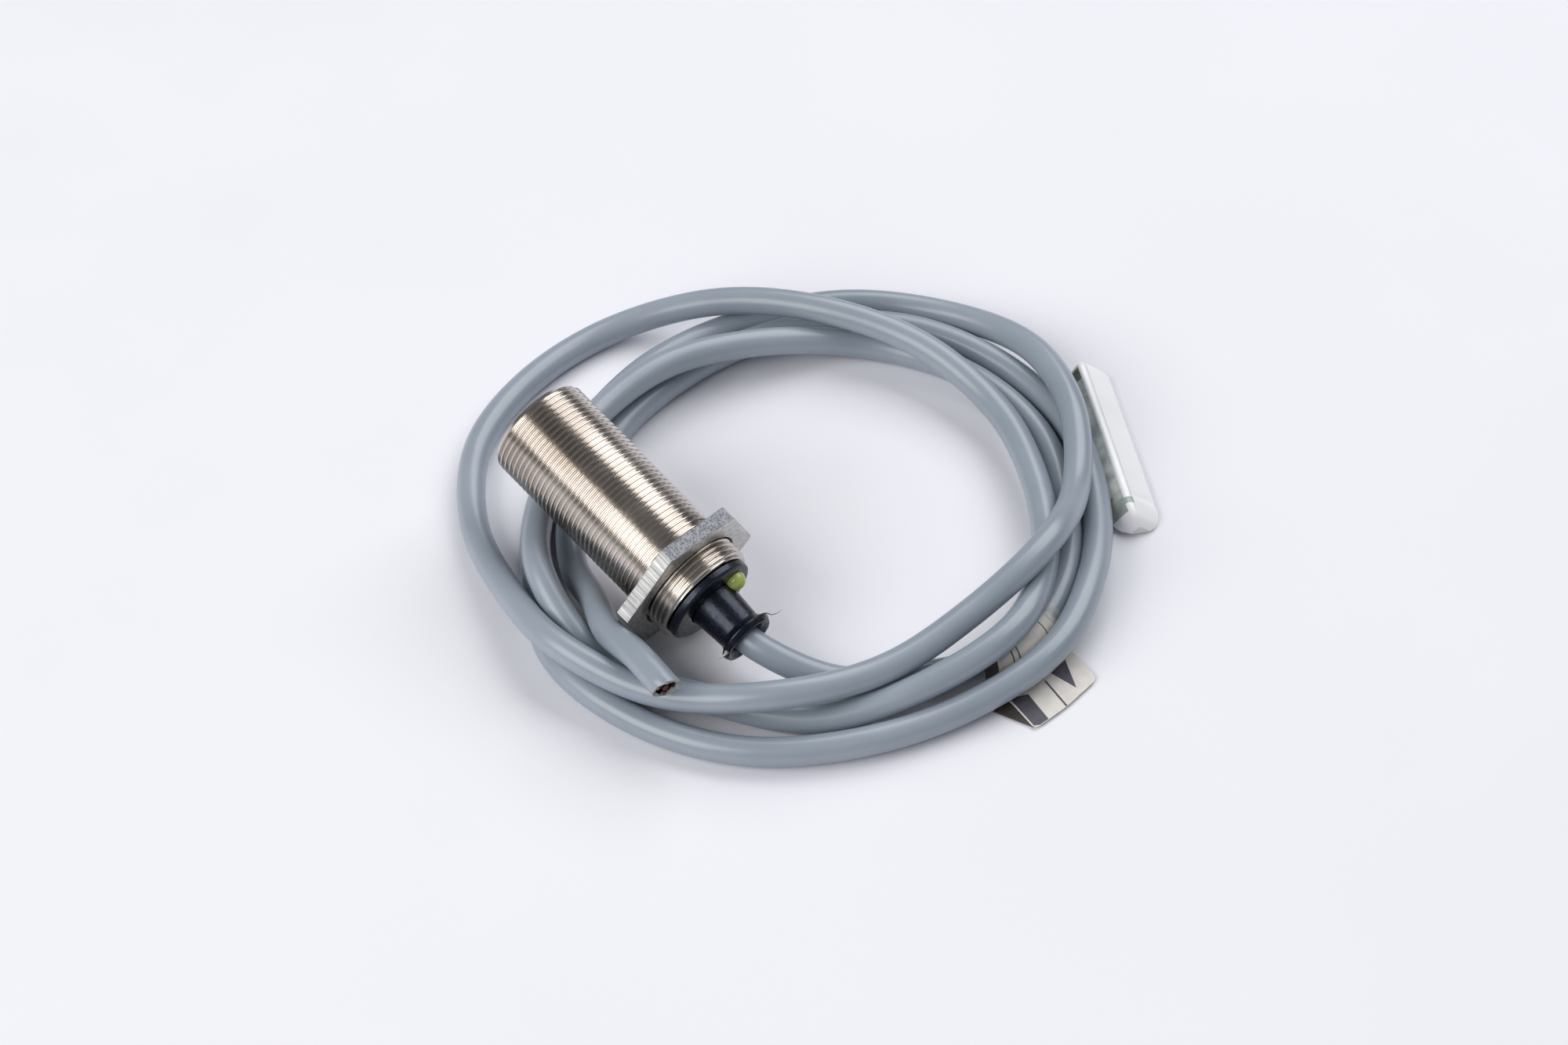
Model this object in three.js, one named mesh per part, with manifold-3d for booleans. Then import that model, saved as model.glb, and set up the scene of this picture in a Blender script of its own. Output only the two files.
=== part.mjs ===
// Inductive proximity sensor with an M18x1 sleeve, lying on its own loose cable.
// Millimetres, +Z up, resting surface at z = 0. +X runs along the sensor towards its sensing face.
import * as THREE from "three";
import { mergeVertices } from "three/addons/utils/BufferGeometryUtils.js";
import Module from "manifold-3d";

const wasm = await Module();
wasm.setup();

const group = new THREE.Group();

// ---- sizes ----
const TILT = THREE.MathUtils.degToRad(15.6); // the sleeve's front end rests on the cable
const NUT_REAR = new THREE.Vector3(-11.45, 0, 11.56); // on the axis, at the nut's rear face

const SLEEVE_R = 9;
const BORE_R = 7.5;
const SLEEVE_FRONT = 37.4;
const SLEEVE_REAR = -3.8;

const NUT_FLATS = 24;
const NUT_THICK = 2.7;
const NUT_BORE_R = 9.3;

const CAP_R = 8.1;
const CAP_FRONT = -4.1;
const CAP_REAR = -5.4;

const RELIEF_REAR = -14.5;
const LED_Y = -3.9;
const LED_Z = 3.55;
const LED_R = 1.5;

const CABLE_R = 2.26; // circumradius of the plain ten-sided section of the 4.8 mm cable
const CABLE_SIDES = 10;
const CABLE_STEPS = 80;

// ---- materials ----
function paint(color, roughness, metalness = 0) {
  return new THREE.MeshStandardMaterial({ color, roughness, metalness });
}

// ---- solids ----
function toSolid(geometry) {
  const plain = geometry.clone();
  plain.deleteAttribute("normal");
  plain.deleteAttribute("uv");
  const merged = mergeVertices(plain, 1e-4);
  const mesh = new wasm.Mesh({
    numProp: 3,
    vertProperties: new Float32Array(merged.attributes.position.array),
    triVerts: new Uint32Array(merged.index.array),
  });
  return new wasm.Manifold(mesh);
}

function toGeometry(solid) {
  const mesh = solid.getMesh();
  const geometry = new THREE.BufferGeometry();
  geometry.setAttribute("position", new THREE.BufferAttribute(mesh.vertProperties, 3));
  geometry.setIndex(new THREE.BufferAttribute(mesh.triVerts, 1));
  geometry.computeVertexNormals();
  return geometry;
}

// A turned piece about the X axis. The profile lists [radius, x] and goes counterclockwise.
function turned(profile, segments = 32) {
  const points = profile.map(([r, x]) => new THREE.Vector2(r, x));
  const geometry = new THREE.LatheGeometry(points, segments);
  geometry.rotateZ(-Math.PI / 2);
  return toSolid(geometry);
}

function ring(inner, outer, x0, x1, segments = 32) {
  return turned([[inner, x0], [outer, x0], [outer, x1], [inner, x1], [inner, x0]], segments);
}

function disc(radius, x0, x1, segments = 32) {
  return turned([[0, x0], [radius, x0], [radius, x1], [0, x1]], segments);
}

function box(x0, x1, y0, y1, z0, z1) {
  const geometry = new THREE.BoxGeometry(x1 - x0, y1 - y0, z1 - z0);
  geometry.translate((x0 + x1) / 2, (y0 + y1) / 2, (z0 + z1) / 2);
  return toSolid(geometry);
}

function moved(solid, x, y, z) {
  return solid.translate([x, y, z]);
}

function addNode(parent, name, solid, material) {
  const mesh = new THREE.Mesh(toGeometry(solid), material);
  mesh.name = name;
  parent.add(mesh);
}

// ---- the sensor, built along its own X axis and then tilted ----
const sensor = new THREE.Group();
sensor.position.copy(NUT_REAR);
sensor.rotation.y = -TILT;
group.add(sensor);

const nickel = () => paint(0xb9b2a6, 0.35, 1);
const blackPlastic = () => paint(0x14161a, 0.35);

const sleeve = turned(
  [
    [BORE_R, SLEEVE_REAR],
    [8.6, SLEEVE_REAR],
    [SLEEVE_R, SLEEVE_REAR + 0.5],
    [SLEEVE_R, 35.6],
    [8, SLEEVE_FRONT],
    [BORE_R, SLEEVE_FRONT],
    [BORE_R, SLEEVE_REAR],
  ],
  48,
);
addNode(sensor, "threaded_barrel", sleeve, nickel());

function hexagon(flats) {
  const corner = flats / Math.sqrt(3);
  const shape = new THREE.Shape();
  for (let k = 0; k < 6; k++) {
    const angle = (k * Math.PI) / 3;
    const y = corner * Math.cos(angle);
    const z = corner * Math.sin(angle);
    if (k === 0) shape.moveTo(y, z);
    else shape.lineTo(y, z);
  }
  return shape;
}

// The shape's own X and Y become the sensor's Y and Z, so that two flats lie level.
function extrudedAlongX(shape, x0, x1) {
  const geometry = new THREE.ExtrudeGeometry(shape, { depth: x1 - x0, bevelEnabled: false });
  geometry.rotateZ(Math.PI / 2);
  geometry.rotateY(Math.PI / 2);
  geometry.translate(x0, 0, 0);
  return toSolid(geometry);
}

const nutBlank = extrudedAlongX(hexagon(NUT_FLATS), 0, NUT_THICK);
const nut = nutBlank.subtract(disc(NUT_BORE_R, -1, NUT_THICK + 1, 48));
addNode(sensor, "hex_nut", nut, paint(0xa8a6a0, 0.4, 1));

const face = turned([
  [0, 36.4],
  [6.8, 36.4],
  [6.8, 33],
  [7.3, 33],
  [7.3, SLEEVE_FRONT],
  [0, SLEEVE_FRONT],
]);
addNode(sensor, "sensing_face", face, paint(0x2b2d31, 0.5));

const ferrite = turned([
  [1, 31.5],
  [6.5, 31.5],
  [6.5, 36.1],
  [5.6, 36.1],
  [5.6, 33],
  [2.4, 33],
  [2.4, 36.1],
  [1, 36.1],
  [1, 31.5],
]);
addNode(sensor, "ferrite_core", ferrite, paint(0x3a3a3c, 0.8));

const bobbin = turned([
  [2.7, 33.3],
  [5.3, 33.3],
  [5.3, 33.7],
  [3.1, 33.7],
  [3.1, 35.5],
  [5.3, 35.5],
  [5.3, 35.9],
  [2.7, 35.9],
  [2.7, 33.3],
]);
addNode(sensor, "coil_bobbin", bobbin, paint(0xd8d2c0, 0.6));
addNode(sensor, "sensing_coil", ring(3.4, 5.1, 34, 35.2), paint(0xb8672e, 0.35, 0.8));

const boardSlot = box(26, 29.3, -6.3, 6.3, -0.85, 0.85);
const holder = disc(7.1, 27.5, 31.2).subtract(boardSlot);
addNode(sensor, "core_holder", holder, paint(0x5b6068, 0.7));

const board = box(2, 29, -6, 6, -0.5, 0.5);
addNode(sensor, "circuit_board", board, paint(0x2f6b45, 0.55));

// Parts on the board: name, x, y, length, width, height, colour.
const boardParts = [
  ["oscillator_chip", 21, 0, 5, 4, 1.6, 0x202226],
  ["output_transistor", 11.5, 3.2, 2.9, 2.4, 1.2, 0x26282c],
  ["filter_capacitor", 15.5, -3.2, 3.5, 2.8, 1.9, 0xc99a3a],
  ["coupling_capacitor", 16, 1.2, 2, 1.3, 1, 0xb79a78],
  ["load_resistor", 15, 4, 3.2, 1.6, 0.6, 0x1d1f22],
  ["trim_resistor", 25.4, 0, 1.2, 3, 1, 0x1d1f22],
  ["protection_diode", 10.5, -3.4, 3.5, 1.6, 1.4, 0x8a2f24],
];
for (const [name, x, y, length, width, height, color] of boardParts) {
  const part = box(x - length / 2, x + length / 2, y - width / 2, y + width / 2, 0.8, 0.8 + height);
  addNode(sensor, name, part, paint(color, 0.5));
}

// Rear cap: a plug inside the sleeve, an end wall, a hole for the relief and one for the lamp.
const capBlank = turned(
  [
    [4.5, CAP_REAR],
    [7.7, CAP_REAR],
    [CAP_R, CAP_REAR + 0.4],
    [CAP_R, CAP_FRONT],
    [7.3, CAP_FRONT],
    [7.3, 0.6],
    [6.9, 0.6],
    [6.9, CAP_FRONT],
    [4.5, CAP_FRONT],
    [4.5, CAP_REAR],
  ],
  40,
);
const lampHole = moved(disc(LED_R + 0.3, -8, 3, 24), 0, LED_Y, LED_Z);
// A slanted scoop on the underside of the end wall, beside the relief.
const scoop = box(-3, 0, 0.5, 12, -12, 0).rotate([0, 14, 0]).translate([CAP_REAR, 0, -0.4]);
const cap = capBlank.subtract(lampHole).subtract(scoop);
addNode(sensor, "rear_cap", cap, blackPlastic());
addNode(sensor, "cap_gasket", ring(6.5, 7.2, 0.9, 1.7), paint(0x6a2f2a, 0.8));

const reliefBlank = turned(
  [
    [2.75, RELIEF_REAR + 3.2],
    [4.2, RELIEF_REAR],
    [4.85, RELIEF_REAR],
    [4.6, RELIEF_REAR + 1.2],
    [3.75, RELIEF_REAR + 2.6],
    [4.15, CAP_REAR + 0.2],
    [4.15, -3.8],
    [5.9, -3.8],
    [5.9, -2.8],
    [2.75, -2.8],
    [2.75, RELIEF_REAR + 3.2],
  ],
  32,
);
addNode(sensor, "strain_relief", reliefBlank.subtract(lampHole), blackPlastic());

const lampProfile = [[0, -3], [LED_R, -3]];
for (let k = 0; k <= 5; k++) {
  const angle = (k * Math.PI) / 10;
  lampProfile.push([k === 5 ? 0 : LED_R * Math.cos(angle), -5.6 - LED_R * Math.sin(angle)]);
}
const lamp = moved(turned(lampProfile.reverse(), 20), 0, LED_Y, LED_Z);
addNode(sensor, "status_led", lamp, paint(0x8fa83a, 0.25));

for (const [name, side] of [["led_lead_a", -0.7], ["led_lead_b", 0.7]]) {
  const lead = box(-2.7, 4, LED_Y + side - 0.25, LED_Y + side + 0.25, LED_Z - 0.25, LED_Z + 0.25);
  addNode(sensor, name, lead, paint(0xc9c7c0, 0.3, 1));
}

addNode(sensor, "cable_clamp", ring(2.6, 3.3, -2.4, -0.6, 24), paint(0xc9c7c0, 0.3, 1));

const wires = [
  ["core_brown", -1.5, 0x6b3a22],
  ["core_blue", 0, 0x2a4f9c],
  ["core_black", 1.5, 0x1a1a1c],
];
for (const [name, y, color] of wires) {
  addNode(sensor, name, moved(disc(0.6, 0.8, 7, 12), 0, y, 1.5), paint(color, 0.5));
}

// ---- the cable ----
// A point on the sensor's axis, x mm in front of the nut's rear face.
function onAxis(x) {
  return [NUT_REAR.x + x * Math.cos(TILT), 0, NUT_REAR.z + x * Math.sin(TILT)];
}

// Route of the cable's middle line, from inside the strain relief to the cut end.
const route = [
  onAxis(0.5), onAxis(-6), onAxis(-11), onAxis(-14.7),
  [-38, -6.5, 3.5], [-47.5, -18.5, 2.8], [-53.5, -31.5, 3.3],
  [-49, -48, 3.3], [-36.5, -62, 2.8], [-21.5, -71.5, 2.5], [-3, -73, 2.5],
  [13, -66, 2.8], [23.5, -51, 6.5], [30, -34, 8.2], [29.5, -16, 7.5],
  [22, 0.5, 8.2], [8.5, 14.5, 9.5], [-9.5, 17, 2.9], [-25.5, 11, 3.1],
  [-41.5, 1, 2.8], [-51, -14, 6.8], [-53.5, -32, 9.1], [-44.5, -48.5, 7.1],
  [-31, -60.5, 5.8], [-15, -68.5, 5.3], [3.5, -69, 7.4], [20.5, -62, 9],
  [35.5, -52, 7.4], [46.5, -38, 3.1], [48, -20, 2.5], [42.5, -2.5, 2.5],
  [29.5, 10.5, 2.8], [12.5, 18.5, 5.5], [-4.5, 22.5, 8.1], [-22, 17.5, 6.6],
  [-37, 6.5, 9.2], [-45, -10, 8.7], [-47.5, -27.5, 10.5], [-47, -46, 13.1],
  [-38.5, -62.5, 8], [-25.5, -75.5, 8.3], [-9, -83, 6.1], [8.5, -81.5, 2.8],
  [23.5, -71, 2.5], [32.5, -55, 2.5], [36, -37, 2.5], [33, -19, 2.5],
  [26, -2, 2.5], [13.5, 11.5, 2.5], [-2.5, 21.5, 2.5], [-21, 21.5, 2.5],
  [-37.5, 14, 2.5], [-49.5, 0, 2.8], [-56.5, -17, 3.2], [-59, -35, 5.1],
  [-52, -52, 5.2], [-40, -66, 3.4], [-25, -76, 2.5], [-7, -79, 2.5],
  [11, -74.5, 2.5], [23.5, -61.5, 3.1], [29.5, -44.5, 3], [29.5, -26, 2.5],
  [25.5, -14, 2.5], [19.5, -2.5, 2.5], [10, 6, 3.2], [0, 10.5, 5.9],
  [-9, 15.5, 9], [-17.5, 17.5, 12], [-26.5, 19.5, 12.8],
].map((p) => new THREE.Vector3(...p));
const cableLine = new THREE.CatmullRomCurve3(route);
cableLine.arcLengthDivisions = 2000;
const stops = cableLine.getSpacedPoints(CABLE_STEPS);

function polygonPath(target, radius, sides) {
  for (let k = 0; k < sides; k++) {
    const angle = (k * 2 * Math.PI) / sides;
    const x = radius * Math.cos(angle);
    const y = radius * Math.sin(angle);
    if (k === 0) target.moveTo(x, y);
    else target.lineTo(x, y);
  }
  target.closePath();
  return target;
}

function tube(curve, radius, steps, hole = 0) {
  const section = polygonPath(new THREE.Shape(), radius, CABLE_SIDES);
  if (hole > 0) section.holes.push(polygonPath(new THREE.Path(), hole, CABLE_SIDES));
  const geometry = new THREE.ExtrudeGeometry(section, { steps, extrudePath: curve });
  return toSolid(geometry);
}

// A turned piece whose X axis starts at a point and runs along a direction.
function placed(solid, start, direction) {
  const turn = new THREE.Quaternion();
  turn.setFromUnitVectors(new THREE.Vector3(1, 0, 0), direction.clone().normalize());
  const matrix = new THREE.Matrix4().compose(start, turn, new THREE.Vector3(1, 1, 1));
  return solid.transform(Array.from(matrix.elements));
}

const cutPoint = stops[CABLE_STEPS];
const inwards = stops[CABLE_STEPS - 1].clone().sub(cutPoint).normalize();
const recess = placed(disc(1.7, -1, 2.6, 16), cutPoint, inwards);
const cable = tube(cableLine, CABLE_R, CABLE_STEPS).subtract(recess);
addNode(group, "cable_jacket", cable, paint(0x96a5af, 0.5));

const cutWires = [
  ["cut_core_brown", 90, 0x6b3a22],
  ["cut_core_blue", 210, 0x2a4f9c],
  ["cut_core_black", 330, 0x1a1a1c],
];
for (const [name, degrees, color] of cutWires) {
  const angle = THREE.MathUtils.degToRad(degrees);
  const wire = disc(0.55, 0.5, 2.3, 10);
  const offset = wire.translate([0, 0.85 * Math.cos(angle), 0.85 * Math.sin(angle)]);
  addNode(group, name, placed(offset, cutPoint, inwards), paint(color, 0.5));
}

const toPoints = (list) => list.map((p) => new THREE.Vector2(...p));

// Paper label: a wrap round two straight steps of the cable, and a flag that lies outwards.
const LABEL_STOP = 4;
const WRAP_HALF = 6.8;
const labelMiddle = stops[LABEL_STOP];
const towards = (to) => to.clone().sub(labelMiddle).setLength(WRAP_HALF).add(labelMiddle);
const wrapLine = new THREE.CurvePath();
wrapLine.add(new THREE.LineCurve3(towards(stops[LABEL_STOP - 1]), labelMiddle));
wrapLine.add(new THREE.LineCurve3(labelMiddle, towards(stops[LABEL_STOP + 1])));
const wrap = tube(wrapLine, 2.95, 2, 2.72);
const flagOutline = new THREE.Shape(
  toPoints([
    [-50.4, -24.8],
    [-53.3, -30.3],
    [-52.3, -36.4],
    [-60, -38.6],
    [-65.4, -37.8],
    [-66.2, -36.8],
    [-66.2, -24.8],
  ]),
);
const flagSheet = new THREE.ExtrudeGeometry(flagOutline, { depth: 0.4, bevelEnabled: false });
flagSheet.translate(0, 0, 0.3);
addNode(group, "cable_label", wrap.add(toSolid(flagSheet)), paint(0xdedad0, 0.8));

// Translucent tag sleeve, folded to a low ridge, that lies beside the outer turns.
// The sections list [distance away from the cable, height above tagFrom].
const tagFrom = new THREE.Vector3(-17, -88.8, 2.7);
const tagTo = new THREE.Vector3(-48.5, -68.8, 2.7);
const tagLength = tagFrom.distanceTo(tagTo);
const tagSection = new THREE.Shape(
  toPoints([[5.2, -2.3], [5.2, -1.6], [-1, 2.3], [-2, 2.1], [-3.6, -1.4], [-3.1, -2.3]]),
);
tagSection.holes.push(
  new THREE.Path(toPoints([[3, -1.8], [-2.7, -1.8], [-2.9, -1.3], [-1.6, 1.5], [-1.1, 1.6], [3, -1]])),
);
const tagBlank = new THREE.ExtrudeGeometry(tagSection, { depth: tagLength, bevelEnabled: false });
tagBlank.rotateZ(Math.PI / 2);
tagBlank.rotateY(Math.PI / 2);
const tag = placed(toSolid(tagBlank), tagFrom, tagTo.clone().sub(tagFrom));
addNode(group, "cable_tag", tag, paint(0xe6e6e0, 0.4));

// The band that ties the tag on goes round one straight step of the outer turn.
const TIE_STOP = 67;
const tieStart = stops[TIE_STOP].clone().lerp(stops[TIE_STOP + 1], 0.1);
const tieDirection = stops[TIE_STOP + 1].clone().sub(stops[TIE_STOP]);
addNode(group, "tag_tie", placed(ring(2.6, 2.95, 0, 3, 20), tieStart, tieDirection), paint(0xcfc9b4, 0.6));

export default group;
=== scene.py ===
import math

import bmesh
import bpy
from mathutils import Matrix, Vector, noise


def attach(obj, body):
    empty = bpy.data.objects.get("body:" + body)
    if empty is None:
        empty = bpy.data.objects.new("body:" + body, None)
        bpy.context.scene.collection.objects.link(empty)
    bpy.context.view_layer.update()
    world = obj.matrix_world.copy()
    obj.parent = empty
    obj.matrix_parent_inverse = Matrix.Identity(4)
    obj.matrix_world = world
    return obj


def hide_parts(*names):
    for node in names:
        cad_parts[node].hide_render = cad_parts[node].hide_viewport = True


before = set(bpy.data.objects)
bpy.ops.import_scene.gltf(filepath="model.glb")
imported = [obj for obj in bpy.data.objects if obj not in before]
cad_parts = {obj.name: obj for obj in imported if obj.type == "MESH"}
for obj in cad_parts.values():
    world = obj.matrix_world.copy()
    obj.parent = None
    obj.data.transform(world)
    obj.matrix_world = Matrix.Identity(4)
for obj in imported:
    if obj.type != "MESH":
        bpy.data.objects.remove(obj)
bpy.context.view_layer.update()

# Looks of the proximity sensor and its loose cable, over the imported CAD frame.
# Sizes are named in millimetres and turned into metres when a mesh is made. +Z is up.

scene = bpy.context.scene
MM = 0.001

# ---------------------------------------------------------------- sizes, millimetres
TILT = math.radians(15.6)
NUT_REAR = Vector((-11.45, 0, 11.56))
PITCH = 1.0
CREST_R = 8.98
THREAD_DEPTH = 0.62
SLEEVE_FRONT = 37.4
SLEEVE_REAR = -3.8
BORE_R = 7.5
NUT_CORNER_R = 24 / math.sqrt(3)
NUT_THICK = 2.7
CAP_REAR = -5.4
RELIEF_REAR = -14.1
LED_Y, LED_Z, LED_R = -3.9, 3.55, 1.66
CABLE_R = 2.4

# The sensor's own frame: X along the sleeve from the nut's rear face to the front.
SENSOR = Matrix.Translation(NUT_REAR * MM) @ Matrix.Rotation(-TILT, 4, "Y")


def on_axis(x):
    """A point on the sleeve's axis, x mm in front of the nut's rear face."""
    return NUT_REAR + Vector((math.cos(TILT), 0, math.sin(TILT))) * x


# ---------------------------------------------------------------- camera
camera_data = bpy.data.cameras.new("camera")
camera_data.lens = 94.07
camera_data.sensor_width = 36
camera = bpy.data.objects.new("camera", camera_data)
scene.collection.objects.link(camera)
EYE = Vector((-341.5, 306.5, 490.9)) * MM
AIM = Vector((-5.1, -27.6, 0)) * MM
camera.location = EYE
camera.rotation_euler = (AIM - EYE).to_track_quat("-Z", "Y").to_euler()
scene.camera = camera
scene.view_settings.view_transform = "Standard"


# ---------------------------------------------------------------- materials
# Socket numbers of a Mix node that is set to colours.
MIX_FAC, MIX_A, MIX_B, MIX_OUT = 0, 6, 7, 2


def material(name, color, rough=0.5, metal=0.0, **sockets):
    """A Principled material, with the sockets given by name set on the shader itself."""
    made = bpy.data.materials.new(name)
    made.use_nodes = True
    shader = made.node_tree.nodes["Principled BSDF"]
    shader.inputs["Base Color"].default_value = (*color, 1)
    shader.inputs["Roughness"].default_value = rough
    shader.inputs["Metallic"].default_value = metal
    for key, value in sockets.items():
        shader.inputs[key.replace("_", " ")].default_value = value
    return made


def node(mat, kind, **values):
    """A new node. Values are input defaults, by name with _ for a space, or node properties."""
    made = mat.node_tree.nodes.new(kind)
    for key, value in values.items():
        if hasattr(made, key):
            setattr(made, key, value)
        else:
            made.inputs[key.replace("_", " ")].default_value = value
    return made


def link(mat, a, out, b, into):
    mat.node_tree.links.new(a.outputs[out], b.inputs[into])


def shader_of(mat):
    return mat.node_tree.nodes["Principled BSDF"]


def place(mat, scale=(1, 1, 1)):
    """Object coordinates in millimetres, stretched by scale."""
    coords = node(mat, "ShaderNodeTexCoord")
    mapping = node(mat, "ShaderNodeMapping")
    mapping.inputs["Scale"].default_value = [1000 * s for s in scale]
    link(mat, coords, "Object", mapping, "Vector")
    return mapping


def noise_ramp(mat, scale, detail, stops, stretch=(1, 1, 1), rough=0.5):
    """Noise through a colour ramp; stops are (position, value or colour). Gives the ramp node."""
    tex = node(mat, "ShaderNodeTexNoise", Scale=scale, Detail=detail, Roughness=rough)
    link(mat, place(mat, stretch), "Vector", tex, "Vector")
    ramp = node(mat, "ShaderNodeValToRGB")
    elements = ramp.color_ramp.elements
    while len(elements) < len(stops):
        elements.new(0.5)
    for element, (position, value) in zip(elements, stops):
        element.position = position
        color = value if isinstance(value, tuple) else (value, value, value)
        element.color = (*color, 1)
    link(mat, tex, "Fac", ramp, "Fac")
    return ramp


def blend_color(mat, fac, first, second):
    """Mixes two colours. fac and first are (node, output) pairs, second is a plain colour."""
    mix = node(mat, "ShaderNodeMix", data_type="RGBA")
    link(mat, *fac, mix, MIX_FAC)
    link(mat, *first, mix, MIX_A)
    mix.inputs[MIX_B].default_value = (*second, 1)
    return mix


def bump(mat, source, out, strength, distance):
    """Adds a bump from a height node, over any bump that is already there."""
    made = node(mat, "ShaderNodeBump", Strength=strength, Distance=distance)
    normal = shader_of(mat).inputs["Normal"]
    if normal.links:
        mat.node_tree.links.new(normal.links[0].from_socket, made.inputs["Normal"])
    link(mat, source, out, made, "Height")
    link(mat, made, "Normal", shader_of(mat), "Normal")


def make_nickel():
    mat = material("nickel_brass", (0.62, 0.57, 0.50), 0.25, 1.0)
    tones = [(0.3, (0.50, 0.45, 0.405)), (0.7, (0.76, 0.715, 0.665))]
    warm = noise_ramp(mat, 0.12, 5, tones, (0.35, 1, 1))
    rust = noise_ramp(mat, 0.55, 9, [(0.67, 0.0), (0.73, 1.0)], (1.0, 0.8, 0.8), 0.7)
    color = blend_color(mat, (rust, "Color"), (warm, "Color"), (0.13, 0.055, 0.025))
    link(mat, color, MIX_OUT, shader_of(mat), "Base Color")
    rough = noise_ramp(mat, 0.5, 6, [(0.25, 0.14), (0.75, 0.25)], (0.6, 1, 1))
    link(mat, rough, "Color", shader_of(mat), "Roughness")
    grain = noise_ramp(mat, 2.5, 4, [(0.35, 0.0), (0.7, 1.0)])
    bump(mat, grain, "Color", 0.12, 0.00003)
    return mat


def make_nut_metal():
    mat = material("nut_nickel", (0.45, 0.45, 0.45), 0.4, 1.0)
    tones = [(0.40, (0.09, 0.095, 0.11)), (0.62, (0.34, 0.345, 0.36))]
    tone = noise_ramp(mat, 3.2, 6, tones, (1, 1, 1), 0.7)
    link(mat, tone, "Color", shader_of(mat), "Base Color")
    rough = noise_ramp(mat, 1.6, 8, [(0.35, 0.32), (0.7, 0.55)], (1, 1, 1), 0.7)
    link(mat, rough, "Color", shader_of(mat), "Roughness")
    speckle = noise_ramp(mat, 2.6, 6, [(0.35, 0.0), (0.65, 1.0)], (1, 1, 1), 0.8)
    bump(mat, speckle, "Color", 0.35, 0.00006)
    return mat


def make_brushed_metal():
    """The nut's flats that were brushed along the sensor's axis."""
    mat = material("nut_brushed", (0.5, 0.5, 0.49), 0.35, 1.0)
    tones = [(0.38, (0.20, 0.20, 0.20)), (0.66, (0.90, 0.90, 0.88))]
    lines = noise_ramp(mat, 2.4, 7, tones, (0.02, 1, 1), 0.8)
    link(mat, lines, "Color", shader_of(mat), "Base Color")
    rough = noise_ramp(mat, 1.0, 6, [(0.35, 0.3), (0.7, 0.5)], (0.1, 1, 1), 0.7)
    link(mat, rough, "Color", shader_of(mat), "Roughness")
    bump(mat, lines, "Color", 0.5, 0.00006)
    return mat


def make_black_plastic():
    bluish = (0.72, 0.8, 1.0, 1.0)
    mat = material("black_plastic", (0.005, 0.006, 0.010), 0.3, Specular_Tint=bluish)
    tones = [(0.5, (0.003, 0.004, 0.008)), (0.85, (0.018, 0.020, 0.030))]
    tone = noise_ramp(mat, 0.9, 8, tones, (1, 1, 1), 0.75)
    link(mat, tone, "Color", shader_of(mat), "Base Color")
    rough = noise_ramp(mat, 1.1, 8, [(0.35, 0.18), (0.7, 0.45)], (1, 1, 1), 0.75)
    link(mat, rough, "Color", shader_of(mat), "Roughness")
    pits = noise_ramp(mat, 1.6, 5, [(0.4, 0.0), (0.75, 1.0)])
    bump(mat, pits, "Color", 0.3, 0.00005)
    return mat


def make_cable_plastic():
    mat = material("cable_jacket_grey", (0.31, 0.37, 0.41), 0.32, Specular_IOR_Level=0.7)
    tones = [(0.3, (0.262, 0.308, 0.358)), (0.7, (0.318, 0.366, 0.424))]
    tone = noise_ramp(mat, 0.05, 4, tones)
    scuff = noise_ramp(mat, 0.9, 4, [(0.76, 0.0), (0.86, 0.25)])
    color = blend_color(mat, (scuff, "Color"), (tone, "Color"), (0.46, 0.49, 0.54))
    dirt = noise_ramp(mat, 0.06, 8, [(0.73, 0.0), (0.76, 0.5)], (1, 1, 1), 0.6)
    dirty = blend_color(mat, (dirt, "Color"), (color, MIX_OUT), (0.07, 0.065, 0.065))
    link(mat, dirty, MIX_OUT, shader_of(mat), "Base Color")
    rough = noise_ramp(mat, 0.05, 3, [(0.3, 0.27), (0.7, 0.33)])
    link(mat, rough, "Color", shader_of(mat), "Roughness")
    fine = noise_ramp(mat, 1.6, 4, [(0.3, 0.0), (0.7, 1.0)])
    bump(mat, fine, "Color", 0.06, 0.00003)
    return mat


def make_plain(name, color, rough, spread=0.15, scale=1.0, **sockets):
    """Moulded or printed material with a slight mottle, roughness variation and fine bump."""
    mat = material(name, color, rough, **sockets)
    dark = tuple(c * (1 - spread) for c in color)
    light = tuple(min(1, c * (1 + spread)) for c in color)
    tone = noise_ramp(mat, scale, 6, [(0.3, dark), (0.7, light)])
    link(mat, tone, "Color", shader_of(mat), "Base Color")
    rough_ramp = noise_ramp(mat, scale * 2, 6, [(0.3, rough * 0.85), (0.7, min(1, rough * 1.15))])
    link(mat, rough_ramp, "Color", shader_of(mat), "Roughness")
    fine = noise_ramp(mat, scale * 4, 5, [(0.3, 0.0), (0.7, 1.0)])
    bump(mat, fine, "Color", 0.15, 0.00004)
    return mat


NICKEL = make_nickel()
NUT_METAL = make_nut_metal()
BRUSHED = make_brushed_metal()
BLACK = make_black_plastic()
CABLE = make_cable_plastic()
LAMP = make_plain("lamp_plastic", (0.60, 0.74, 0.20), 0.1, 0.1, 0.5, Transmission_Weight=0.3, IOR=1.5)
NUT_REAR_METAL = make_plain("nut_rear_metal", (0.60, 0.59, 0.56), 0.36, 0.3, 1.4, Metallic=1.0)
PAPER = make_plain("label_paper", (0.72, 0.69, 0.64), 0.6, 0.08, 0.5)
INK = make_plain("label_ink", (0.075, 0.07, 0.09), 0.5, 0.25, 0.8)
# Near black: painted shade for the underside of the flag's curl, and the real colour of the dark moulding
# hair.
PAINTED_SHADE_AND_HAIR = make_plain("painted_shade_and_black_hair", (0.05, 0.04, 0.035), 0.6, 0.25, 0.8)
TAPE = make_plain("clear_tape", (0.55, 0.56, 0.55), 0.25, 0.3, 0.9, Alpha=0.45)
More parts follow.
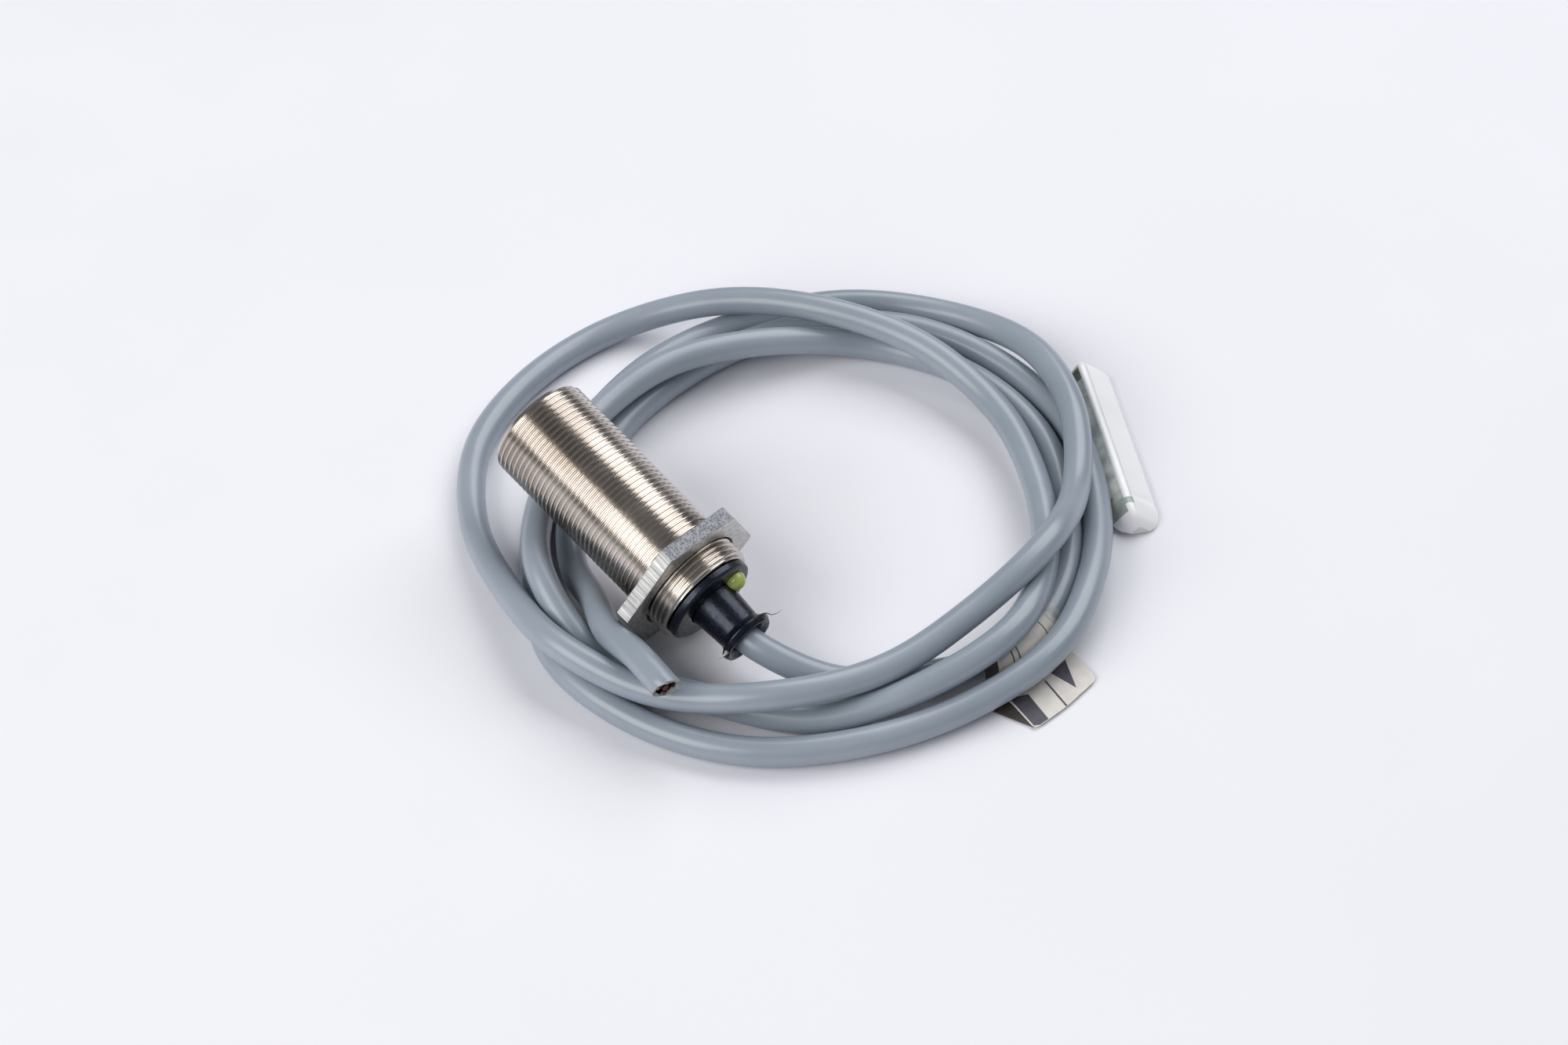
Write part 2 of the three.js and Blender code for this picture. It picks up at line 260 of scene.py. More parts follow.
TAG = make_plain("tag_plastic", (0.95, 0.95, 0.96), 0.2, 0.03, 0.12)
# Grey-green: the tag's side towards the cable, partly dirt and partly painted shade.
TAG_INNER_DIRT_AND_SHADE = make_plain("tag_inner_dirt_and_painted_shade", (0.66, 0.68, 0.63), 0.3, 0.4, 0.35)
# Light grey: painted shade for the strip beside the tag's ridge and for the foot's end face.
TAG_PAINTED_SHADE = make_plain("tag_painted_shade", (0.80, 0.80, 0.79), 0.25, 0.1, 0.15)
TAG_BAND = make_plain("tag_band", (0.40, 0.46, 0.43), 0.3, 0.3, 0.3)
STAIN = make_plain("tag_stain", (0.17, 0.17, 0.12), 0.5, 0.5, 0.9)
TIE = make_plain("tie_plastic", (0.50, 0.49, 0.42), 0.5, 0.3, 0.8)
FACE = make_plain("face_plastic", (0.03, 0.032, 0.036), 0.5, 0.2, 0.8)
# Near black: painted shade for the hollow inside the cable's cut end.
HOLLOW_PAINTED_SHADE = make_plain("cut_hollow_painted_shade", (0.006, 0.004, 0.004), 0.8, 0.3, 1.0)
JACKET_CUT = make_plain("jacket_cut", (0.30, 0.30, 0.28), 0.6, 0.35, 0.8)
BROWN = make_plain("core_brown_plastic", (0.085, 0.015, 0.012), 0.45, 0.25, 1.5)
BLUE = make_plain("core_blue_plastic", (0.01, 0.014, 0.035), 0.45, 0.2, 1.5)
BLACK_CORE = make_plain("core_black_plastic", (0.010, 0.010, 0.011), 0.45, 0.2, 1.5)
BARE = make_plain("bare_wire", (0.62, 0.60, 0.56), 0.3, 0.12, 1.2, Metallic=1.0)

# The pieces closed inside the sleeve keep their CAD shape.
INNER = {
    "ferrite_core": make_plain("ferrite", (0.05, 0.05, 0.052), 0.8, 0.2, 1.0),
    "coil_bobbin": make_plain("bobbin_plastic", (0.60, 0.55, 0.43), 0.5, 0.1, 0.8),
    "sensing_coil": make_plain("copper_winding", (0.55, 0.22, 0.08), 0.35, 0.2, 2.0, Metallic=1.0),
    "core_holder": make_plain("holder_plastic", (0.12, 0.13, 0.15), 0.6, 0.15, 0.8),
    "circuit_board": make_plain("board_laminate", (0.03, 0.16, 0.07), 0.4, 0.15, 0.6),
    "filter_capacitor": make_plain("component_ceramic", (0.50, 0.33, 0.10), 0.45, 0.15, 1.0),
    "coupling_capacitor": make_plain("capacitor_ceramic", (0.45, 0.33, 0.20), 0.45, 0.15, 1.0),
    "protection_diode": make_plain("diode_glass", (0.28, 0.05, 0.03), 0.25, 0.15, 1.0),
    "cap_gasket": make_plain("gasket_rubber", (0.16, 0.04, 0.03), 0.75, 0.2, 1.0),
    "core_brown": BROWN,
    "core_blue": BLUE,
    "core_black": BLACK_CORE,
}
CHIP = make_plain("chip_epoxy", (0.02, 0.021, 0.024), 0.5, 0.2, 1.2)
for name in ("oscillator_chip", "output_transistor", "load_resistor", "trim_resistor"):
    INNER[name] = CHIP
for name in ("led_lead_a", "led_lead_b", "cable_clamp"):
    INNER[name] = BARE
for name, finish in INNER.items():
    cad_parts[name].data.materials.clear()
    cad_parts[name].data.materials.append(finish)


# ---------------------------------------------------------------- mesh helpers
def tidy_mesh(mesh):
    """Joins points that coincide and turns all faces outwards."""
    work = bmesh.new()
    work.from_mesh(mesh)
    bmesh.ops.remove_doubles(work, verts=work.verts, dist=1e-6)
    bmesh.ops.recalc_face_normals(work, faces=work.faces)
    work.to_mesh(mesh)
    work.free()


def make_object(name, verts, faces, mats, matrix=None, sharp=35, body="sensor", slots=None):
    """A piece from vertices in millimetres. Faces meeting over sharp degrees keep a hard edge.
    slots gives the number of each face's material."""
    mesh = bpy.data.meshes.new(name)
    mesh.from_pydata([tuple(Vector(v) * MM) for v in verts], [], faces)
    if slots:
        mesh.polygons.foreach_set("material_index", slots)
    tidy_mesh(mesh)
    obj = bpy.data.objects.new(name, mesh)
    scene.collection.objects.link(obj)
    for mat in mats if isinstance(mats, (list, tuple)) else [mats]:
        mesh.materials.append(mat)
    mesh.shade_smooth()
    mesh.set_sharp_from_angle(angle=math.radians(sharp))
    if matrix is not None:
        obj.matrix_world = matrix
    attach(obj, body)
    return obj


def grid_faces(rows, cols, close_rows=False, flip=False):
    """Quads of a grid of points whose columns go round."""
    faces = []
    for i in range(rows if close_rows else rows - 1):
        for j in range(cols):
            a = i * cols + j
            b = i * cols + (j + 1) % cols
            c = ((i + 1) % rows) * cols + (j + 1) % cols
            d = ((i + 1) % rows) * cols + j
            faces.append((a, d, c, b) if flip else (a, b, c, d))
    return faces


def revolve(name, profile, mats, cols=96, y=0.0, z=0.0, shape=None, sharp=35):
    """A piece turned about a line beside the sensor's axis, from a closed outline of (radius, x)
    points. shape(angle, r, x) may change the radius."""
    verts = []
    for r, x in profile:
        for j in range(cols):
            angle = 2 * math.pi * j / cols
            radius = shape(angle, r, x) if shape else r
            verts.append((x, y + radius * math.cos(angle), z + radius * math.sin(angle)))
    faces = grid_faces(len(profile), cols, close_rows=True)
    return make_object(name, verts, faces, mats, SENSOR, sharp)


def rounded(points, radius, steps=3):
    """The same closed outline with its corners rounded."""
    out = []
    for i, point in enumerate(points):
        before = Vector(points[i - 1])
        here = Vector(point)
        after = Vector(points[(i + 1) % len(points)])
        size = min(radius, (before - here).length * 0.45, (after - here).length * 0.45)
        start = here + (before - here).normalized() * size
        end = here + (after - here).normalized() * size
        for k in range(steps + 1):
            t = k / steps
            spot = start * (1 - t) ** 2 + here * (2 * t * (1 - t)) + end * t * t
            out.append(tuple(spot))
    return out


def cut(obj, cutter):
    """Takes the cutter's shape out of obj, and removes the cutter."""
    modifier = obj.modifiers.new("cut", "BOOLEAN")
    modifier.operation = "DIFFERENCE"
    modifier.solver = "EXACT"
    modifier.object = cutter
    bpy.context.view_layer.update()
    graph = bpy.context.evaluated_depsgraph_get()
    result = bpy.data.meshes.new_from_object(obj.evaluated_get(graph))
    obj.modifiers.clear()
    old = obj.data
    obj.data = result
    bpy.data.meshes.remove(old)
    result.shade_smooth()
    result.set_sharp_from_angle(angle=math.radians(30))
    bpy.data.objects.remove(cutter)


# ---------------------------------------------------------------- the cable's route
# The middle line from inside the strain relief to the cut end, the same points as in the CAD.
ROUTE = [on_axis(0.5), on_axis(-6), on_axis(-11), on_axis(-14.7)] + [
    Vector(p) for p in (
        (-38, -6.5, 3.5), (-47.5, -18.5, 2.8), (-53.5, -31.5, 3.3),
        (-49, -48, 3.3), (-36.5, -62, 2.8), (-21.5, -71.5, 2.5), (-3, -73, 2.5),
        (13, -66, 2.8), (23.5, -51, 6.5), (30, -34, 8.2), (29.5, -16, 7.5),
        (22, 0.5, 8.2), (8.5, 14.5, 9.5), (-9.5, 17, 2.9), (-25.5, 11, 3.1),
        (-41.5, 1, 2.8), (-51, -14, 6.8), (-53.5, -32, 9.1), (-44.5, -48.5, 7.1),
        (-31, -60.5, 5.8), (-15, -68.5, 5.3), (3.5, -69, 7.4), (20.5, -62, 9),
        (35.5, -52, 7.4), (46.5, -38, 3.1), (48, -20, 2.5), (42.5, -2.5, 2.5),
        (29.5, 10.5, 2.8), (12.5, 18.5, 5.5), (-4.5, 22.5, 8.1), (-22, 17.5, 6.6),
        (-37, 6.5, 9.2), (-45, -10, 8.7), (-47.5, -27.5, 10.5), (-47, -46, 13.1),
        (-38.5, -62.5, 8), (-25.5, -75.5, 8.3), (-9, -83, 6.1), (8.5, -81.5, 2.8),
        (23.5, -71, 2.5), (32.5, -55, 2.5), (36, -37, 2.5), (33, -19, 2.5),
        (26, -2, 2.5), (13.5, 11.5, 2.5), (-2.5, 21.5, 2.5), (-21, 21.5, 2.5),
        (-37.5, 14, 2.5), (-49.5, 0, 2.8), (-56.5, -17, 3.2), (-59, -35, 5.1),
        (-52, -52, 5.2), (-40, -66, 3.4), (-25, -76, 2.5), (-7, -79, 2.5),
        (11, -74.5, 2.5), (23.5, -61.5, 3.1), (29.5, -44.5, 3), (29.5, -26, 2.5),
        (25.5, -14, 2.5), (19.5, -2.5, 2.5), (10, 6, 3.2), (0, 10.5, 5.9),
        (-9, 15.5, 9), (-17.5, 17.5, 12), (-26.5, 19.5, 12.8),
    )
]


def smooth_line(points, per_span):
    """A centripetal Catmull-Rom curve through the points."""
    out = []
    last = len(points) - 1
    for i in range(last):
        p1, p2 = points[i], points[i + 1]
        p0 = points[i - 1] if i else p1 * 2 - p2
        p3 = points[i + 2] if i + 2 <= last else p2 * 2 - p1
        d0 = max((p0 - p1).length ** 0.5, 1e-4)
        d1 = max((p1 - p2).length ** 0.5, 1e-4)
        d2 = max((p2 - p3).length ** 0.5, 1e-4)
        m1 = ((p1 - p0) / d0 - (p2 - p0) / (d0 + d1) + (p2 - p1) / d1) * d1
        m2 = ((p2 - p1) / d1 - (p3 - p1) / (d1 + d2) + (p3 - p2) / d2) * d1
        for k in range(per_span):
            t = k / per_span
            out.append(
                p1 + m1 * t + (p2 * 3 - p1 * 3 - m1 * 2 - m2) * t * t
                + (p1 * 2 - p2 * 2 + m1 + m2) * t ** 3
            )
    out.append(points[last].copy())
    return out


def evenly(points, step):
    """Points a step apart along the same line, with both ends kept, and the line's length."""
    lengths = [0.0]
    for a, b in zip(points, points[1:]):
        lengths.append(lengths[-1] + (b - a).length)
    count = max(2, round(lengths[-1] / step))
    out = []
    k = 0
    for i in range(count + 1):
        s = lengths[-1] * i / count
        while k < len(points) - 2 and lengths[k + 1] < s:
            k += 1
        span = max(lengths[k + 1] - lengths[k], 1e-9)
        out.append(points[k].lerp(points[k + 1], (s - lengths[k]) / span))
    return out, lengths[-1]


def frames_along(line):
    """A tangent and two cross directions at each point, turned as little as possible."""
    out = []
    side = None
    for i, point in enumerate(line):
        tangent = (line[min(i + 1, len(line) - 1)] - line[max(i - 1, 0)]).normalized()
        if side is None:
            side = tangent.cross(Vector((0, 0, 1))).normalized()
        side = (side - tangent * side.dot(tangent)).normalized()
        out.append((point, tangent, side, tangent.cross(side)))
    return out


line, full_length = evenly(smooth_line(ROUTE, 12), 1.6)
cable_frames = frames_along(line)


def sweep(frames, radius, sides, start=0, end=None):
    """Rings of points round a stretch of the line. radius may depend on (index, angle)."""
    verts = []
    for i, (point, _, side, up) in enumerate(frames[start:end]):
        for j in range(sides):
            angle = 2 * math.pi * j / sides
            r = radius(i, angle) if callable(radius) else radius
            verts.append(point + side * (r * math.cos(angle)) + up * (r * math.sin(angle)))
    return verts


def make_cable():
    sides = 28
    verts = sweep(cable_frames, CABLE_R, sides)
    rows = len(cable_frames)
    faces = grid_faces(rows, sides, flip=True)
    faces.append(tuple(range(sides)))
    # The cut end is a ragged rim, the jacket's wall and a hollow. The cut is oblique: its plane
    # leans away from the cable's own cross-section.
    point, tangent, side, up = cable_frames[-1]
    lean = Vector((-0.868, 0.382, -0.313))
    base = len(verts) - sides
    for k in range(base, len(verts)):
        verts[k] -= tangent * ((verts[k] - point).dot(lean) / tangent.dot(lean))
    slots = [0] * len(faces)
    # Rings inwards from the rim: radius, distance past the cut, raggedness along the cable.
    rings = [(2.28, 0.12, 0.16), (1.8, 0.05, 0.3), (1.62, -0.3, 0.2), (1.55, -2.2, 0)]
    for k, (r, along, ragged) in enumerate(rings, 1):
        for j in range(sides):
            angle = 2 * math.pi * j / sides
            wobble = noise.noise(Vector((3 * math.cos(angle), 3 * math.sin(angle), k * 1.7)))
            radius = r * (1 + (0.16 if k in (2, 3) else 0.02) * wobble)
            flat = side * (radius * math.cos(angle)) + up * (radius * math.sin(angle))
            past = along + ragged * 2 * wobble - flat.dot(lean) / tangent.dot(lean)
            verts.append(point + tangent * past + flat)
        start = len(verts) - sides
        for j in range(sides):
            n = (j + 1) % sides
            faces.append((base + j, start + j, start + n, base + n))
            # The deepest ring's wall and the closing face get the near-black colour: painted shade in the
            # hollow.
            slots.append(1 if k < 4 else 2)
        base = start
    faces.append(tuple(reversed(range(base, base + sides))))
    slots.append(2)
    return make_object("cable", verts, faces, [CABLE, JACKET_CUT, HOLLOW_PAINTED_SHADE], sharp=50, slots=slots)


cable = make_cable()
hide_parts("cable_jacket")


def cut_core(name, degrees, mat):
    """One wire in the hollow of the cut end: an insulated core with a slightly domed end."""
    point, tangent, side, up = cable_frames[-1]
    angle = math.radians(degrees)
    centre = point + (side * math.cos(angle) + up * math.sin(angle)) * 0.82
    verts = []
    profile = [(0.0, -2.3), (0.58, -2.3), (0.6, -1.0), (0.55, -0.8), (0.3, -0.72), (0.0, -0.7)]
    sides = 20
    for r, along in profile:
        for j in range(sides):
            turn = 2 * math.pi * j / sides
            across = side * (r * math.cos(turn)) + up * (r * math.sin(turn))
            verts.append(centre + tangent * along + across)
    obj = make_object(name, verts, grid_faces(len(profile), sides, flip=True), mat)
    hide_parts(name)
    obj.name = name + "_look"
    return obj


cores = [
    cut_core("cut_core_brown", 90, BROWN),
    cut_core("cut_core_blue", 210, BLUE),
    cut_core("cut_core_black", 330, BLACK_CORE),
]


# ---------------------------------------------------------------- sensor pieces
# The thread over one pitch: (share of the pitch, height above the root from 0 to 1).
THREAD = [
    (0.0, 0.0), (0.06, 0.0), (0.2, 0.4), (0.36, 0.88), (0.44, 1.0), (0.62, 1.0), (0.7, 0.88), (0.86, 0.4),
]


def make_sleeve():
    """The sleeve's outside is a helical strip, cut off square by its two chamfers."""
    cols = 160
    turns = int((SLEEVE_FRONT - SLEEVE_REAR) / PITCH) + 2
    per_turn = len(THREAD)
    verts = []
    for m in range((turns + 1) * per_turn):
        share, height = THREAD[m % per_turn]
        for j in range(cols):
            x = SLEEVE_REAR + (m // per_turn - 1 + share + j / cols) * PITCH
            x = min(max(x, SLEEVE_REAR), SLEEVE_FRONT)
            front_limit = 8.25 + (SLEEVE_FRONT - x) * 0.75
            rear_limit = 8.5 + (x - SLEEVE_REAR)
            r = min(CREST_R - THREAD_DEPTH * (1 - height), front_limit, rear_limit)
            angle = 2 * math.pi * j / cols
            verts.append((x, r * math.cos(angle), r * math.sin(angle)))
    faces = []
    for m in range(turns * per_turn - 1):
        for j in range(cols):
            right = (m * cols + j + 1) if j < cols - 1 else (m + per_turn) * cols
            quad = (m * cols + j, right, right + cols, (m + 1) * cols + j)
            xs = [verts[k][0] for k in quad]
            if SLEEVE_REAR < max(xs) and min(xs) < SLEEVE_FRONT:
                faces.append(quad)
    start = len(verts)
    profile = [(8.5, SLEEVE_REAR), (BORE_R + 0.1, SLEEVE_REAR), (BORE_R, SLEEVE_REAR + 0.2)]
    profile += [(BORE_R, SLEEVE_FRONT - 0.2), (BORE_R + 0.1, SLEEVE_FRONT), (8.25, SLEEVE_FRONT)]
    for r, x in profile:
        for j in range(cols):
            angle = 2 * math.pi * j / cols
            verts.append((x, r * math.cos(angle), r * math.sin(angle)))
    faces += [tuple(start + k for k in face) for face in grid_faces(len(profile), cols)]
    obj = make_object("sleeve", verts, faces, NICKEL, SENSOR, 50)
    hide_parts("threaded_barrel")


make_sleeve()


def hex_radius(angle):
    """Distance from the axis to the hexagon, with slightly rounded corners."""
    turn = (angle + math.pi / 6) % (math.pi / 3) - math.pi / 6
    sharp = NUT_CORNER_R * math.cos(math.pi / 6) / math.cos(math.pi / 6 - abs(turn))
    return min(sharp, NUT_CORNER_R - 0.12)


def make_nut():
    """A hexagon with slightly broken edges, three brushed flats and a brighter rear face."""
    cols = 192
    ring = rounded(
        [(9.35, 0.0), (14.0, 0.0), (14.0, NUT_THICK), (9.35, NUT_THICK), (9.02, 2.3), (9.02, 0.4)],
        0.14, 2,
    )
    verts = []
    for r, x in ring:
        for j in range(cols):
            angle = 2 * math.pi * (j + 0.5) / cols
            radius = r if r <= 9.6 else hex_radius(angle) - (14.0 - r)
            verts.append((x, radius * math.cos(angle), radius * math.sin(angle)))
    faces = grid_faces(len(ring), cols, close_rows=True)
    slots = []
    for face in faces:
        middle = sum((Vector(verts[k]) for k in face), Vector()) / 4
        side = int(math.atan2(middle.z, middle.y) % (2 * math.pi) / (math.pi / 3))
        outside = math.hypot(middle.y, middle.z) > 11.8 and 0.1 < middle.x < NUT_THICK - 0.1
        if middle.x < 0.02:
            slots.append(2)
        else:
            slots.append(1 if outside and side in (0, 2, 3) else 0)
    mats = [NUT_METAL, BRUSHED, NUT_REAR_METAL]
    obj = make_object("nut", verts, faces, mats, SENSOR, 22, "nut", slots)
    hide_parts("hex_nut")


make_nut()


def make_face():
    """The flat disc that closes the sleeve's front end."""
    outline = [(0.02, 36.4), (7.3, 36.4), (7.42, 36.6), (7.42, 37.25), (7.2, 37.4), (0.02, 37.4)]
    ring = rounded(outline, 0.12, 2)
    obj = revolve("face", ring, FACE, 96)
    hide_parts("sensing_face")


make_face()


def make_cap():
    """The black end cap, with one side of its rear face scooped away at a slant."""
    ring = rounded(
        [(4.4, CAP_REAR), (7.55, CAP_REAR), (8.1, CAP_REAR + 0.35), (8.15, -4.0), (7.2, -3.9), (7.2, 0.5),
         (6.9, 0.5), (6.9, -3.9), (4.4, -3.9)],
        0.16, 3,
    )
    obj = revolve("cap", ring, BLACK, 192)
    size = 12
    verts = [(x, y, z) for x in (0, -3) for y in (0.6, 0.6 + size) for z in (-size, 0)]
    faces = [(0, 1, 3, 2), (4, 6, 7, 5), (0, 4, 5, 1), (2, 3, 7, 6), (0, 2, 6, 4), (1, 5, 7, 3)]
    corner = Matrix.Translation(Vector((CAP_REAR, 0, -0.4)) * MM)
    slant = Matrix.Rotation(math.radians(14), 4, "Y")
    cutter = make_object("cutter", verts, faces, BLACK, SENSOR @ corner @ slant)
    cut(obj, cutter)
    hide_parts("rear_cap")


make_cap()


def make_relief():
    """The black sleeve that guards the cable, flared at its end into a dished skirt."""
    skirt_start = -12.6
    neck = [(4.2, CAP_REAR + 1.4), (4.2, CAP_REAR - 0.1), (3.78, -11.8)]
    skirt = [(4.1, -12.45), (4.85, -13.0), (4.86, -13.25), (4.5, RELIEF_REAR), (4.1, RELIEF_REAR)]
    inner = [(3.35, -13.4), (2.8, -12.2), (2.65, -6), (2.65, CAP_REAR + 1.4)]
    profile = rounded(neck + skirt + inner, 0.1, 2)

    def torn(angle, r, x):
        """The skirt's rim is slightly uneven."""
        if x > skirt_start:
            return r
        n = noise.noise(Vector((2.2 * math.cos(angle), 2.2 * math.sin(angle), x * 0.6)))
        return r * (1 + 0.03 * n * (skirt_start - x))

    obj = revolve("relief", profile, BLACK, 160, shape=torn, sharp=32)
    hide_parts("strain_relief")


make_relief()


def make_flash():
    """Moulding flash left on the skirt's rim: a thin curled hair and a short pale spike."""
    hair = [
        (-13.1, -0.6, 4.85), (-13.15, -2.6, 4.2), (-13.3, -3.7, 3.6),
        (-13.8, -4.6, 2.9), (-14.2, -5.4, 3.1), (-14.4, -6.0, 3.9),
    ]
    spike = [(-13.6, 4.6, 0.4), (-13.9, 5.4, 0.8), (-13.95, 6.9, 0.9)]
    sides = 8
    for name, points, thick, mat in (("hair", hair, 0.13, PAINTED_SHADE_AND_HAIR), ("spike", spike, 0.4, TIE)):
        path = frames_along(smooth_line([Vector(p) for p in points], 8))
        last = len(path) - 1
        verts = sweep(path, lambda i, angle: thick * (1 - 0.85 * i / last), sides)
        faces = grid_faces(len(path), sides)
        faces += [tuple(range(sides)), tuple(range(last * sides, (last + 1) * sides))]
        obj = make_object("flash_" + name, verts, faces, mat, SENSOR)


make_flash()


def make_lamp():
    """The lamp: a short cylinder with a half-round end."""
    profile = [(0.01, -3.0), (LED_R, -3.0), (LED_R, -5.75)]
    for k in range(1, 12):
        angle = k * math.pi / 24
        profile.append((max(0.01, LED_R * math.cos(angle)), -5.75 - LED_R * math.sin(angle)))
    profile.append((0.01, -5.75 - LED_R))
    obj = revolve("lamp", list(reversed(profile)), LAMP, 48, y=LED_Y, z=LED_Z, sharp=60)
    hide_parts("status_led")


make_lamp()


# ---------------------------------------------------------------- label and tag
FINE_STEP = 0.2
fine_line, _ = evenly(smooth_line(ROUTE, 24), FINE_STEP)
fine_frames = frames_along(fine_line)
LABEL_SPOT = (-53.5, -31.5, 3.3)
TIE_SPOT = (-40.7, -65.2, 3.4)


def nearest(spot):
    """Number of the fine line's point nearest to a spot."""
    return min(range(len(fine_line)), key=lambda i: (fine_line[i] - Vector(spot)).length)


def make_label():
    """A printed paper wrap on the cable: a dark band, thin rules and a small dark wedge."""
    sides = 48
    middle = nearest(LABEL_SPOT)
    first, last = middle - 32, middle + 40

    def crumpled(i, angle):
        n = noise.noise(Vector((i * 0.09, 1.6 * math.cos(angle), 1.6 * math.sin(angle))))
        return 2.6 + 0.1 * n

    verts = sweep(fine_frames, crumpled, sides, first, last)
    rows = last - first
    faces = grid_faces(rows, sides)
    slots = []
    for k in range(len(faces)):
        along, around = k // sides * FINE_STEP, k % sides / sides
        band = along < 2.2
        rule = 4.4 < along < 4.8 or 5.4 < along < 5.8 or 11.4 < along < 11.8
        wedge = 7.0 < along < 8.6 and abs(around - 0.42) < 0.02 + 0.035 * (along - 7.0)
        slots.append(1 if band or rule or wedge else 0)
    # Both ends are closed down to the cable.
    verts += sweep(fine_frames, 2.42, sides, last - 1, last)
    verts += sweep(fine_frames, 2.42, sides, first, first + 1)
    for start, base in (((rows - 1) * sides, rows * sides), (0, (rows + 1) * sides)):
        for j in range(sides):
            n = (j + 1) % sides
            faces.append((start + j, start + n, base + n, base + j))
            slots.append(0)
    return make_object("label_wrap", verts, faces, [PAPER, INK], sharp=50, slots=slots)


label = make_label()
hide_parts("cable_label")


def make_tape():
    """Clear tape over the wrap's end, torn and wrinkled."""
    sides = 48
    middle = nearest(LABEL_SPOT)
    first, last = middle + 36, middle + 50

    def wrinkled(i, angle):
        n = noise.noise(Vector((i * 0.35, 3 * math.cos(angle), 3 * math.sin(angle))))
        return 2.68 - 0.012 * i + 0.09 * n

    verts = sweep(fine_frames, wrinkled, sides, first, last)
    obj = make_object("label_tape", verts, grid_faces(last - first, sides), TAPE, sharp=60)
    return obj


tape = make_tape()


def flat_shape(outline, low, high):
    """Vertices and faces of a flat piece with a given outline, between two heights."""
    count = len(outline)
    verts = [(x, y, low) for x, y in outline] + [(x, y, high) for x, y in outline]
    faces = [tuple(reversed(range(count))), tuple(range(count, 2 * count))]
    faces += [(i, (i + 1) % count, count + (i + 1) % count, count + i) for i in range(count)]
    return verts, faces


def make_flag():
    """The label's loose flag near the floor, with generic print: a band, a rule and a wedge."""
    sheet = [
        (-53.5, -24.6), (-55.2, -30.8), (-54.0, -36.6), (-59.0, -39.9),
        (-65.6, -38.4), (-66.2, -30.6), (-65.9, -23.4), (-59.3, -24.8),
    ]
    band = [(-60.1, -28.0), (-65.95, -26.45), (-65.85, -24.6), (-65.3, -23.75), (-58.6, -25.2)]
    rule = [(-60.0, -32.2), (-60.1, -31.85), (-66.12, -30.35), (-66.15, -30.7)]
    wedge = [(-59.6, -33.9), (-59.2, -37.7), (-64.6, -34.5)]
    # The curl's near-black colour is painted shade: the fold's underside in shadow.
    curl_in_painted_shade = [(-58.5, -25.3), (-65.2, -23.75), (-62.7, -22.9), (-58.5, -21.6)]
    strip = [(-52.0, -17.0), (-53.9, -25.2), (-55.6, -25.2), (-53.1, -17.4)]
    # Outline, lower and upper height, number of the material.
    sheets = [
        (rounded(sheet, 1.3, 5), 0.45, 0.6, 0),
        (band, 0.55, 0.62, 1),
        (rule, 0.55, 0.62, 1),
        (wedge, 0.55, 0.62, 1),
        (curl_in_painted_shade, 0.12, 0.44, 2),
        (strip, 0.35, 0.5, 0),
    ]
    verts, faces, slots = [], [], []
    for outline, low, high, slot in sheets:
        more, more_faces = flat_shape(outline, low, high)
        faces += [tuple(len(verts) + k for k in face) for face in more_faces]
        verts += more
        slots += [slot] * len(more_faces)
    obj = make_object("label_flag", verts, faces, [PAPER, INK, PAINTED_SHADE_AND_HAIR], sharp=30, slots=slots)
    return obj


flag = make_flag()


def make_tag():
    """A clear sleeve folded to a ridge, with a side towards the cable that is darker, partly dirt and
    partly painted shade, and a moulded foot.
    """
    start = Vector((-16.3, -89.2, 0))
    end = Vector((-48.7, -67.5, 0))
    along = (end - start).normalized()
    across = Vector((along.y, -along.x, 0))
    floor_gap = 0.35
    # Corner points of the section: (distance towards the cable, height).
    corners = [(-4.0, floor_gap), (-3.9, 1.3), (0.6, 5.0), (1.6, 5.1), (3.9, 1.2), (3.5, 0.4)]
    section = rounded(corners, 0.9, 5)
    count = len(section)
    rows = 60
    verts = []
    for i in range(rows):
        t = i / (rows - 1)
        head = min(1.0, t / 0.07)
        foot = min(1.0, (1 - t) / 0.1)
        head_size = math.sqrt(max(0.02, 1 - (1 - head) ** 2))
        foot_size = 0.35 + 0.65 * math.sqrt(max(0.0, 1 - (1 - foot) ** 2))
        size = head_size * foot_size
        waist = 1 - 0.05 * math.exp(-((t - 0.86) / 0.012) ** 2)
        lower = 1 - 0.2 * max(0.0, t - 0.5)
        centre = start.lerp(end, t)
        for a, z in section:
            wide = 0.7 * t if a > 2 else 0.0
            spot = centre + across * ((a + wide + 0.5) * size * waist - 0.5)
            height = floor_gap + (z - floor_gap) * size * waist * lower
            verts.append((spot.x, spot.y, height))
    faces = grid_faces(rows, count)
    mats = [TAG, TAG_INNER_DIRT_AND_SHADE, TAG_PAINTED_SHADE, TAG_BAND, STAIN]
    slots = []
    for k in range(len(faces)):
        t = (k // count) / rows
        a, z = section[k % count]
        inner_side = a > 1.75 and z > 0.5
        # The outer strip beside the ridge is coloured light grey as painted shade.
        painted_shade_beside_ridge = -1.4 < a < 0.4 and z > 3.2
        if t > 0.93:
            finish = TAG
        elif inner_side and 0.05 < t < 0.12:
            finish = STAIN
        elif (inner_side and 0.84 < t < 0.92) or (z > 3 and 0.85 < t < 0.89):
            finish = TAG_BAND
        elif inner_side:
            finish = TAG_INNER_DIRT_AND_SHADE
        else:
            finish = TAG_PAINTED_SHADE if painted_shade_beside_ridge else TAG
        slots.append(mats.index(finish))
    faces += [tuple(range(count)), tuple(range((rows - 1) * count, rows * count))]
    slots += [mats.index(TAG), mats.index(TAG_PAINTED_SHADE)]
    return make_object("tag", verts, faces, mats, sharp=50, slots=slots)


tag = make_tag()
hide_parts("cable_tag")


